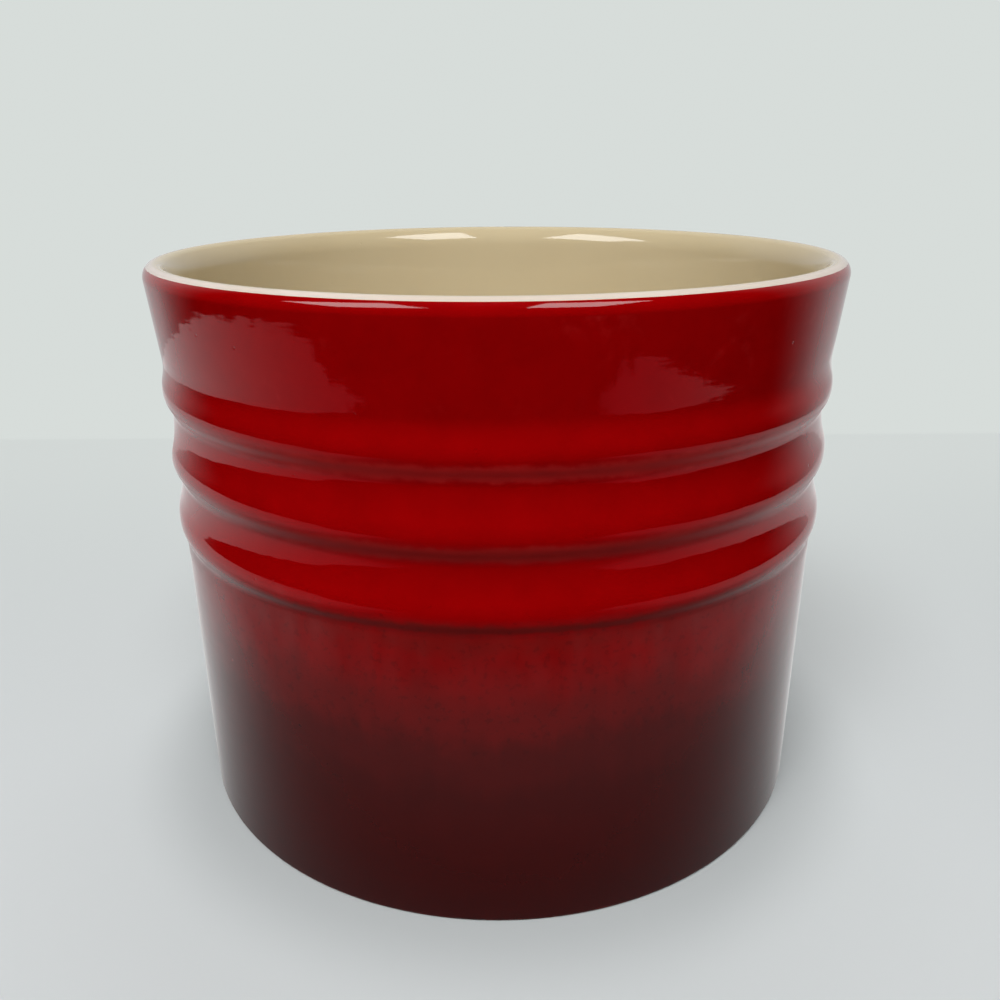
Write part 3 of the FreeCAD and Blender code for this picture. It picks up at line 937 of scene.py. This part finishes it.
class RedGlaze(Glaze):
    """Glossy red that sinks into brown-black towards the foot. Metres, and scales in waves per metre."""

    name = "red_glaze"
    SPAN = PotShape.height
    STOPS = (
        (0.00, (0.045, 0.0016, 0.0014, 1.0)),
        (0.22, (0.061, 0.0020, 0.0016, 1.0)),
        (0.31, (0.082, 0.0024, 0.0019, 1.0)),
        (0.38, (0.140, 0.0026, 0.0022, 1.0)),
        (0.47, (0.222, 0.0018, 0.0020, 1.0)),
        (0.56, (0.302, 0.0004, 0.0010, 1.0)),
        (1.00, (0.310, 0.0004, 0.0010, 1.0)),
    )
    CLOUDS = 42.0
    CLOUD_WANDER = 0.0030
    RUNS = 210.0
    RUN_STRETCH = (1.0, 1.0, 0.12)
    RUN_WANDER = 0.0022
    BLOTS = 95.0
    BLOT_WANDER = 0.0018
    GRIT = 360.0
    STAIN_AND_SHADE_WANDER = 0.08
    UNDERSIDE_TILT_SPAN = (-0.12, -0.36)
    STAIN_AND_SHADE = 0.8
    STAIN_ROUGHNESS = 0.22
    BAND_LEVEL = 0.0720
    BAND_HALF = 0.0050
    BAND_WANDER = 0.012
    BAND = 0.8
    BROWN_SPAN = (0.072, 0.108)
    BROWN_LOW = (0.170, 0.0065, 0.0050, 1.0)
    BROWN_HIGH = (0.420, 0.0120, 0.0110, 1.0)
    SPECKS = 620.0
    SPECK_RISE = (0.030, 0.052)
    SPECK_FALL = (0.095, 0.066)
    SPECK_COVER = 0.75
    SPECK_LEAST = 0.05
    SPECK_SHARE = 0.28
    SPECK = (0.035, 0.002, 0.002, 1.0)
    MOTTLE = 130.0
    MOTTLE_SHARE = 0.06
    SHADE_TILT_SPAN = (-0.12, 0.12)
    DOWNWARD_SHADE = 0.88
    ROUGHNESS = (0.025, 0.050)
    SHINE = (0.5, 0.2)
    RIM_SPAN = (0.1360, 0.1385)
    RIM_SHINE = 0.65
    DRIPS = 170.0
    DRIP_STRETCH = (1.0, 1.0, 0.35)
    DRIP_REACH = 0.024
    CLEAR_SPAN = (0.0800, 0.0550)
    GLINT = (1.0, 0.06, 0.09, 1.0)
    SKIN = {"Wave": 0.00004, "Peel": 0.000002, "Pinhole": 0.00004, "Ridge": 0.00003}

    def build(self) -> None:
        """Joins height, clouds, streaks, specks, the brown under the rings, painted shade by tilt, gloss
        and relief.
        """
        wire = self.wire
        *_, up = wire.split(self.place)
        tilt = wire.add("ShaderNodeAttribute", attribute_name="tilt").outputs["Fac"]
        clouds = self.tone(self.CLOUDS, self.place)
        stain_and_shade = self.stain_and_shade(up, tilt, clouds)
        brown = wire.blend(wire.remap(up, *self.BROWN_SPAN), self.BROWN_LOW, self.BROWN_HIGH)
        # The brown share is partly a thin dull glaze and partly painted shade under the rings and in the
        # lowest crease.
        colour = wire.blend(wire.times(stain_and_shade, self.STAIN_AND_SHADE), self.fade(up, clouds), brown)
        mottle = wire.math("MULTIPLY_ADD", self.tone(self.MOTTLE, self.place), self.MOTTLE_SHARE, 1.0)
        # Painted shade: faces that tilt down, as the collar and the undersides of the rings do, get a
        # darker red, and faces that tilt up stay bright.
        tilt_shade = wire.remap(tilt, *self.SHADE_TILT_SPAN, self.DOWNWARD_SHADE, 1.0)
        smooth = wire.remap(clouds, -1.0, 1.0, *self.ROUGHNESS)
        rough = wire.math("MULTIPLY_ADD", stain_and_shade, self.STAIN_ROUGHNESS, smooth)
        self.coat(wire.scaled(self.speckled(colour, up), wire.times(mottle, tilt_shade)), rough)
        self.shine(up, tilt)

    def fade(self, up: Socket, clouds: Socket) -> Socket:
        """Colour by height, at a level that wanders with clouds, blots and vertical runs.

        Args:
            up: Height in metres.
            clouds: Soft clouds of tone.

        Returns:
            The colour.
        """
        wire = self.wire
        runs = self.tone(self.RUNS, wire.stretch(self.place, self.RUN_STRETCH))
        blots = self.tone(self.BLOTS, self.place)
        wander = wire.total(wire.times(clouds, self.CLOUD_WANDER), wire.times(runs, self.RUN_WANDER))
        wander = wire.math("MULTIPLY_ADD", blots, self.BLOT_WANDER, wander)
        return wire.ramp(wire.math("DIVIDE", wire.total(up, wander), self.SPAN), self.STOPS)

    def stain_and_shade(self, up: Socket, tilt: Socket, clouds: Socket) -> Socket:
        """Share of the brown under the rings and in the lowest crease: partly the glaze running thin and
        dull there, partly painted shade on faces that tilt down and in the crease.

        Args:
            up: Height in metres.
            tilt: Upward tilt of the face.
            clouds: Soft clouds of tone.

        Returns:
            The share, 0 to 1.
        """
        wire = self.wire
        wander = wire.times(wire.total(clouds, self.tone(self.GRIT, self.place)), self.STAIN_AND_SHADE_WANDER)
        under = wire.remap(wire.total(tilt, wander), *self.UNDERSIDE_TILT_SPAN)
        off = wire.math("ABSOLUTE", wire.minus(up, self.BAND_LEVEL))
        off = wire.math("MULTIPLY_ADD", wander, self.BAND_WANDER, off)
        return wire.most(under, wire.remap(off, self.BAND_HALF, 0.0, 0.0, self.BAND))

    def speckled(self, colour: Socket, up: Socket) -> Socket:
        """Adds dark specks where red turns to brown.

        Args:
            colour: Colour under the specks.
            up: Height in metres.

        Returns:
            The speckled colour.
        """
        wire = self.wire
        zone = wire.times(wire.remap(up, *self.SPECK_RISE), wire.remap(up, *self.SPECK_FALL))
        cover = wire.math("MULTIPLY_ADD", zone, self.SPECK_COVER, self.SPECK_LEAST)
        return wire.blend(wire.times(self.dots(self.SPECKS, cover), self.SPECK_SHARE), colour, self.SPECK)

    def shine(self, up: Socket, tilt: Socket) -> None:
        """Sets the gloss: tinted on the red, white on the brown and on the rim's edge.

        Args:
            up: Height in metres.
            tilt: Upward tilt of the face.
        """
        wire = self.wire
        dull = wire.remap(tilt, *self.UNDERSIDE_TILT_SPAN, *self.SHINE)
        level = wire.times(dull, wire.remap(up, *self.RIM_SPAN, 1.0, self.RIM_SHINE))
        place = wire.stretch(self.place, self.DRIP_STRETCH)
        drips = wire.noise(place, self.DRIPS, detail=3.0, roughness=0.6)
        fringe = wire.math("MULTIPLY_ADD", drips, self.DRIP_REACH, wire.minus(up, self.DRIP_REACH / 2))
        clear = wire.most(wire.remap(fringe, *self.CLEAR_SPAN), wire.remap(up, *self.RIM_SPAN))
        self.set(Specular_IOR_Level=level, Specular_Tint=wire.blend(clear, self.GLINT, WHITE))


class CreamGlaze(Glaze):
    """Glossy warm cream of the rim and the inside. Metres, and scales in waves per metre."""

    name = "cream_glaze"
    CLOUDS = 30.0
    RIM_SPAN = (0.0857, 0.0841)
    PALE = (0.775, 0.675, 0.625, 1.0)
    DEEP = (0.655, 0.550, 0.350, 1.0)
    WARM = (0.61, 0.490, 0.295, 1.0)
    WARM_SHARE = (0.12, 0.38)
    SPECKS = 520.0
    SPECK_COVER = 0.14
    SPECK_SHARE = 0.35
    SPECK = (0.42, 0.30, 0.18, 1.0)
    ROUGHNESS = (0.025, 0.05)
    SKIN = {"Wave": 0.00008, "Peel": 0.000004, "Pinhole": 0.00004}

    def build(self) -> None:
        """Joins the paler crown, clouds, a few iron specks and relief."""
        wire = self.wire
        clouds = self.tone(self.CLOUDS, self.place)
        out = wire.length(wire.stretch(self.place, (1.0, 1.0, 0.0)))
        colour = wire.blend(wire.remap(out, *self.RIM_SPAN), self.PALE, self.DEEP)
        colour = wire.blend(wire.remap(clouds, -1.0, 1.0, *self.WARM_SHARE), colour, self.WARM)
        specks = wire.times(self.dots(self.SPECKS, self.SPECK_COVER), self.SPECK_SHARE)
        rough = wire.remap(clouds, -1.0, 1.0, *self.ROUGHNESS)
        self.coat(wire.blend(specks, colour, self.SPECK), rough)


class BareStoneware(Finish):
    """Unglazed fired clay of the foot ring, with a fine open grain. Metres, scales in waves per metre."""

    name = "bare_stoneware"
    PATCHES = 90.0
    PATCH_SPAN = (-0.6, 1.0)
    PALE = (0.66, 0.57, 0.45, 1.0)
    RUBBED = (0.47, 0.41, 0.34, 1.0)
    SPECKS = 900.0
    SPECK_COVER = 0.5
    SPECK_SHARE = 0.4
    SPECK = (0.30, 0.24, 0.18, 1.0)
    GRAIN = 1800.0
    GRAIN_SPAN = (0.3, 0.7)
    GRAIN_DEPTH = 0.00005
    ROUGHNESS = (0.72, 0.92)

    def build(self) -> None:
        """Joins grain, rubbed patches and specks."""
        wire = self.wire
        patches = wire.remap(self.tone(self.PATCHES, self.place), *self.PATCH_SPAN)
        specks = wire.times(self.dots(self.SPECKS, self.SPECK_COVER), self.SPECK_SHARE)
        grain = wire.noise(self.place, self.GRAIN, detail=4.0, roughness=0.7)
        self.set(
            Base_Color=wire.blend(specks, wire.blend(patches, self.PALE, self.RUBBED), self.SPECK),
            Roughness=wire.remap(grain, *self.GRAIN_SPAN, *self.ROUGHNESS),
            Normal=self.bump(wire.times(grain, self.GRAIN_DEPTH)),
        )


class DarkGlaze(Glaze):
    """Glossy brown-black coat in the recess under the base. Metres, and scales in waves per metre."""

    name = "dark_glaze"
    CLOUDS = 55.0
    DEEP = (0.030, 0.0055, 0.0048, 1.0)
    THIN = (0.085, 0.016, 0.011, 1.0)
    ROUGHNESS = (0.06, 0.14)
    SKIN = {"Wave": 0.0001, "Peel": 0.000006, "Pinhole": 0.00006}

    def build(self) -> None:
        """Joins clouds and relief."""
        wire = self.wire
        clouds = self.tone(self.CLOUDS, self.place)
        rough = wire.remap(clouds, -1.0, 1.0, *self.ROUGHNESS)
        self.coat(wire.blend(wire.remap(clouds, -1.0, 1.0), self.DEEP, self.THIN), rough)


@dataclass
class Crock:
    """The pot: clay, outer coat, inner coat and base coat, all turned about Z."""

    pot: PotShape
    pad: PadShape
    columns: int = 288

    def make(
        self, tree: TurningTree, node: str, points: list[SectionPoint], finish: Finish
    ) -> None:
        """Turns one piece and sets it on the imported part.

        Args:
            tree: Tree that turns sections.
            node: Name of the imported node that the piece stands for.
            points: Section of the piece.
            finish: Finish of the piece.
        """
        values = {"Columns": self.columns, "Material": finish.material, **self.pad.values(self.pot)}
        piece = tree.turn(node + "_turned", points, values)
        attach(piece, BODY)
        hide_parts(node)
        triangles = sum(len(face.vertices) - 2 for face in piece.data.polygons)
        LOG.info("%s: %d triangles, finish %s", piece.name, triangles, finish.name)

    def outside(self, depth: float, face: Face, whole_foot: bool) -> Stroke:
        """Draws the outside from the foot to the seam on the rim.

        Args:
            depth: How far the drawn face lies under the glaze face.
            face: How closely it is divided.
            whole_foot: True to start on the standing face, False at the glaze line.

        Returns:
            The stroke, with its pen at the seam.
        """
        stroke = self.pot.draw_outside(depth, face, whole_foot)
        stroke.arc(self.pot.edge(), self.pot.seam(depth), Turn.LEFT)
        return stroke

    def clay_section(self) -> list[SectionPoint]:
        """Section of the clay, from the axis under the base round to the axis on the floor.

        Returns:
            Its points.
        """
        around = self.outside(self.pot.glaze, Face.HIDDEN, True)
        self.pot.draw_inside(around, self.pot.glaze)
        return self.pot.draw_underside().points + around.points

    def red_section(self) -> list[SectionPoint]:
        """Closed section of the outer coat.

        Returns:
            Its points.
        """
        shown = self.outside(0.0, Face.SHOWN, False).points
        hidden = self.outside(self.pot.glaze, Face.HIDDEN, False).points
        return shown + hidden[::-1] + shown[:1]

    def cream_section(self) -> list[SectionPoint]:
        """Section of the inner coat, from the axis under it round the rim to the axis on it.

        Returns:
            Its points.
        """
        pot = self.pot
        hidden = Stroke(pot.seam(pot.glaze), pot.glaze, Face.HIDDEN)
        pot.draw_inside(hidden, pot.glaze)
        shown = Stroke(pot.seam(0.0), 0.0, Face.SHOWN)
        pot.draw_inside(shown, 0.0)
        return hidden.points[::-1] + shown.points

    def base_section(self) -> list[SectionPoint]:
        """Section of the base coat: a disc with a rounded lower edge.

        Returns:
            Its points.
        """
        pot = self.pot
        radius = pot.foot_inside - pot.base_glaze_margin
        low = pot.recess_depth - pot.glaze
        bend = pot.glaze / 2
        stroke = Stroke(Vector((0.0, low)), 0.0, Face.SHOWN)
        stroke.line(Vector((radius - bend, low)))
        stroke.arc(Vector((radius - bend, low + bend)), Vector((radius, low + bend)), Turn.LEFT)
        stroke.line(Vector((radius, pot.recess_depth)))
        stroke.line(Vector((0.0, pot.recess_depth)))
        return stroke.points

    def build(self, tree: TurningTree, groups: SurfaceGroups) -> None:
        """Makes the four pieces.

        Args:
            tree: Tree that turns sections.
            groups: Shared node groups of the finishes.
        """
        self.make(tree, "stoneware_body", self.clay_section(), BareStoneware(groups))
        self.make(tree, "outer_glaze", self.red_section(), RedGlaze(groups))
        self.make(tree, "inner_glaze", self.cream_section(), CreamGlaze(groups))
        self.make(tree, "base_glaze", self.base_section(), DarkGlaze(groups))


@dataclass(frozen=True)
class Lamp:
    """Area lamp: where it hangs, where it points, its size, power in watts and what sees it. Metres."""

    name: str
    place: tuple[float, float, float]
    aim: tuple[float, float, float]
    size: Span
    power: float
    lights_matt: bool = True
    lights_gloss: bool = True

    def hang(self) -> None:
        """Makes the lamp and points it at its aim."""
        data = bpy.data.lights.new(self.name, "AREA")
        data.shape = "RECTANGLE"
        data.size, data.size_y = self.size
        data.energy = self.power
        lamp = bpy.data.objects.new(self.name, data)
        lamp.location = self.place
        down = Vector(self.aim) - Vector(self.place)
        lamp.rotation_euler = down.to_track_quat("-Z", "Y").to_euler()
        lamp.visible_diffuse = self.lights_matt
        lamp.visible_glossy = self.lights_gloss
        bpy.context.scene.collection.objects.link(lamp)


@dataclass(frozen=True)
class View:
    """Camera of the main view: metres and degrees, focal length in pixels of the square picture."""

    back: float = 0.24623
    rise: float = 0.163645
    pitch: float = 20.619
    yaw: float = -0.113
    roll: float = -0.35
    focal_pixels: float = 911.07
    sensor: float = 36.0
    clip_start: float = 0.01

    def build(self) -> None:
        """Makes the camera and gives it to the scene."""
        data = bpy.data.cameras.new("camera")
        data.sensor_width = self.sensor
        data.lens = self.focal_pixels / PHOTO_SIDE * self.sensor
        data.clip_start = self.clip_start
        camera = bpy.data.objects.new("camera", data)
        heading = Matrix.Rotation(math.radians(self.yaw), 4, "Z")
        dip = Matrix.Rotation(math.radians(90.0 - self.pitch), 4, "X")
        tilt = Matrix.Rotation(math.radians(self.roll), 4, "Z")
        camera.matrix_world = Matrix.Translation((0.0, -self.back, self.rise)) @ heading @ dip @ tilt
        bpy.context.scene.collection.objects.link(camera)
        bpy.context.scene.camera = camera


@dataclass(frozen=True)
class Studio:
    """Pale floor and soft light; in the glaze the floor glows with a painted reflection of a table that
    ends in front and aside, with painted shade and shadow in it. Metres.
    """

    floor_size: float = 12.0
    floor_colour: Colour = (0.67, 0.705, 0.71, 1.0)
    bounce_colour: Colour = (0.42, 0.425, 0.42, 1.0)
    back_colour: Colour = (0.68, 0.72, 0.70, 1.0)
    fill_colour: Colour = (0.15, 0.15, 0.15, 1.0)
    dark_colour: Colour = (0.003, 0.0015, 0.0015, 1.0)
    painted_shadow_span: Span = (0.084, 0.112)
    painted_foot_shadow: float = 0.78
    wall_span: Span = (0.288, 0.306)
    paler_span: Span = (-0.05, 0.294)
    paler_share: float = 0.75
    distant_span: Span = (0.45, 1.00)
    table_middle: float = 0.09
    table_depth: float = 0.385
    table_skew: float = 0.1
    left_reach: Span = (0.575, 0.48)
    right_reach: Span = (0.372, 0.44)
    edge_blur: float = 0.006
    edge_scale: float = 16.0
    ragged: float = 0.14
    corner_gain: float = 3.0
    near_glow: float = 0.19
    far_glow: float = 0.80
    aside_span: Span = (0.06, 0.22)
    near_pot_shade_span: Span = (0.15, 0.31)
    near_pot_shade: float = 0.35
    behind_span: Span = (-0.13, 0.06)
    painted_front_shade_span: Span = (-0.28, -0.16)
    foot_span: Span = (0.15, 0.084)
    foot_front: Span = (-0.04, -0.11)
    painted_mirror_foot_shadow: float = 0.60
    wall_tone: float = 0.62
    wall_skew: float = 0.08
    wall_start: float = 0.03
    wall_full: float = 0.75

    def build(self) -> None:
        """Makes the floor, the world, the lamps and the view settings."""
        bpy.context.scene.view_settings.view_transform = "Standard"
        self.make_floor()
        self.make_world()
        for lamp in self.lamps():
            lamp.hang()

    def lamps(self) -> list[Lamp]:
        """Lists the lamps: soft ones in front and behind, and two panels that only gloss shows.

        Returns:
            The lamps.
        """
        pot = (0.0, 0.0, 0.08)
        left = (-1.10, -0.95, 1.15)
        right = (0.54, -0.95, 1.15)
        return [
            Lamp("soft_front", (-0.14, -0.84, 1.35), pot, (1.1, 0.7), 23.0, lights_gloss=False),
            Lamp("soft_back", (0.20, 1.20, 0.60), pot, (1.2, 0.7), 5.0, lights_gloss=False),
            Lamp("panel_left", left, (*left[:2], 0.0), (1.10, 0.85), 23.0, lights_matt=False),
            Lamp("panel_right", right, (*right[:2], 0.0), (0.64, 0.85), 13.5, lights_matt=False),
        ]

    def make_floor(self) -> None:
        """Makes the floor plane and its material."""
        half = self.floor_size / 2
        corners = [(-half, -half, 0.0), (half, -half, 0.0), (half, half, 0.0), (-half, half, 0.0)]
        mesh = bpy.data.meshes.new("studio_floor")
        mesh.from_pydata(corners, [], [(0, 1, 2, 3)])
        material = bpy.data.materials.new("studio_floor")
        material.use_nodes = True
        material.node_tree.nodes.clear()
        self.dress_floor(Wiring(material.node_tree))
        mesh.materials.append(material)
        floor = bpy.data.objects.new("studio_floor", mesh)
        bpy.context.scene.collection.objects.link(floor)

    def dress_floor(self, wire: Wiring) -> None:
        """Makes the floor pale to the camera with a painted shadow round the pot's foot, calmer as bounce
        light, and a glowing painted reflection of a table in the glaze.

        Args:
            wire: Wiring of the floor's material.
        """
        place = wire.add("ShaderNodeTexCoord").outputs["Object"]
        _, y, _ = wire.split(place)
        out = wire.length(place)
        rays = wire.add("ShaderNodeLightPath").outputs
        # Painted shadow: the pale floor darkens in a ring round the pot's foot.
        pale = wire.scaled(self.floor_colour[:3], wire.remap(out, *self.painted_shadow_span, self.painted_foot_shadow, 1.0))
        colour = wire.blend(rays["Is Camera Ray"], self.bounce_colour, pale)
        matt = wire.add("ShaderNodeBsdfDiffuse", {"Color": colour})
        far = wire.add("ShaderNodeEmission", {"Color": self.back_colour})
        distant = wire.most(wire.remap(y, *self.wall_span), wire.remap(out, *self.distant_span))
        paler = wire.remap(y, *self.paler_span, 0.0, self.paler_share)
        wall = wire.times(wire.most(distant, paler), rays["Is Camera Ray"])
        seen = wire.add("ShaderNodeMixShader", {0: wall, 1: matt.outputs[0], 2: far.outputs[0]})
        image = self.mirrored(wire, place, out)
        glow = wire.add("ShaderNodeEmission", {"Color": WHITE, "Strength": image})
        shader = wire.add("ShaderNodeMixShader", {
            0: rays["Is Glossy Ray"], 1: seen.outputs[0], 2: glow.outputs[0],
        })
        wire.add("ShaderNodeOutputMaterial", {"Surface": shader.outputs[0]})

    def mirrored(self, wire: Wiring, place: Socket, out: Socket) -> Socket:
        """Brightness of the floor's mirror image, a painted reflection that glows for glossy rays: a table
        with ragged edges, a wall behind it, painted shade near the pot and in front, and a painted shadow
        by the foot.

        Args:
            wire: Wiring of the floor's material.
            place: Coordinates on the floor.
            out: Distance from the axis of the pot.

        Returns:
            The brightness, 1 for white.
        """
        x, y, _ = wire.split(place)
        noise = wire.noise(place, self.edge_scale, detail=8.0, roughness=0.78)
        ragged = wire.times(wire.minus(noise, 0.5), self.ragged)
        middle = wire.minus(y, self.table_middle)
        left = self.corner(wire, wire.math("MINIMUM", x, 0.0), middle, self.left_reach, ragged)
        ahead = wire.math("MINIMUM", y, 0.0)
        right = self.corner(wire, wire.most(x, 0.0), ahead, self.right_reach, ragged)
        reach = wire.total(wire.math("MULTIPLY_ADD", x, self.table_skew, middle), ragged)
        front = wire.remap(reach, -self.table_depth - self.edge_blur, -self.table_depth + self.edge_blur)
        sideways = wire.remap(wire.math("ABSOLUTE", x), *self.aside_span)
        # Painted shade: the mirror image is dimmer on the near table and close to the pot at the sides.
        aside = wire.times(sideways, wire.remap(out, *self.near_pot_shade_span, self.near_pot_shade, 1.0))
        share = wire.most(aside, wire.remap(y, *self.behind_span))
        depth = wire.remap(share, 0.0, 1.0, self.near_glow, self.far_glow)
        # Painted shadow of the pot in its mirror image, darkest by the foot on the front side.
        foot = wire.times(wire.remap(out, *self.foot_span, 0.0, self.painted_mirror_foot_shadow),
                          wire.remap(y, *self.foot_front))
        # Painted shade towards the front, except at the sides.
        shade = wire.times(wire.most(aside, wire.remap(y, *self.painted_front_shade_span)), wire.minus(1.0, foot))
        lit = wire.times(depth, shade, wire.times(left, right, front))
        return wire.most(lit, self.wall_glow(wire, x, y))

    def corner(self, wire: Wiring, x: Socket, y: Socket, reach: Span, ragged: Socket) -> Socket:
        """Mask of a rounded corner of the table.

        Args:
            wire: Wiring of the floor's material.
            x: Sideways place.
            y: Place from front to back.
            reach: Reach of the corner along both.
            ragged: Change of the edge.

        Returns:
            The mask, 1 on the table.
        """
        across = wire.math("POWER", wire.math("DIVIDE", x, reach[0]), 2.0)
        along = wire.math("POWER", wire.math("DIVIDE", y, reach[1]), 2.0)
        edge = wire.math("MULTIPLY_ADD", ragged, self.corner_gain, wire.total(across, along))
        blur = self.corner_gain * self.edge_blur
        return wire.remap(edge, 1.0 + blur, 1.0 - blur)

    def wall_glow(self, wire: Wiring, x: Socket, y: Socket) -> Socket:
        """Brightness of the wall behind the pot, which grows from the sides to the back.

        Args:
            wire: Wiring of the material or of the world.
            x: Sideways part of a direction from the pot.
            y: Backward part of that direction.

        Returns:
            The brightness, 1 for white.
        """
        back = wire.math("MULTIPLY_ADD", x, self.wall_skew, y)
        turned = wire.math("DIVIDE", back, wire.math("ABSOLUTE", x))
        return wire.remap(turned, self.wall_start, self.wall_full, 0.0, self.wall_tone)

    def make_world(self) -> None:
        """Makes the world: pale to the camera, soft fill for matt light, a wall behind for gloss."""
        world = bpy.data.worlds.new("studio")
        bpy.context.scene.world = world
        world.use_nodes = True
        world.node_tree.nodes.clear()
        wire = Wiring(world.node_tree)
        rays = wire.add("ShaderNodeLightPath").outputs
        x, y, _ = wire.split(wire.add("ShaderNodeTexCoord").outputs["Generated"])
        mirror = wire.blend(self.wall_glow(wire, x, y), self.dark_colour, WHITE)
        fill = wire.blend(rays["Is Glossy Ray"], self.fill_colour, mirror)
        colour = wire.blend(rays["Is Camera Ray"], fill, self.back_colour)
        shader = wire.add("ShaderNodeBackground", {"Color": colour, "Strength": 1.0})
        wire.add("ShaderNodeOutputWorld", {"Surface": shader.outputs[0]})


def main() -> None:
    """Builds the crock, the studio and the camera."""
    logging.basicConfig(level=logging.INFO, format="%(name)s: %(message)s")
    Crock(PotShape(), PadShape()).build(TurningTree(), SurfaceGroups())
    Studio().build()
    View().build()


if __name__ == "__main__":
    main()
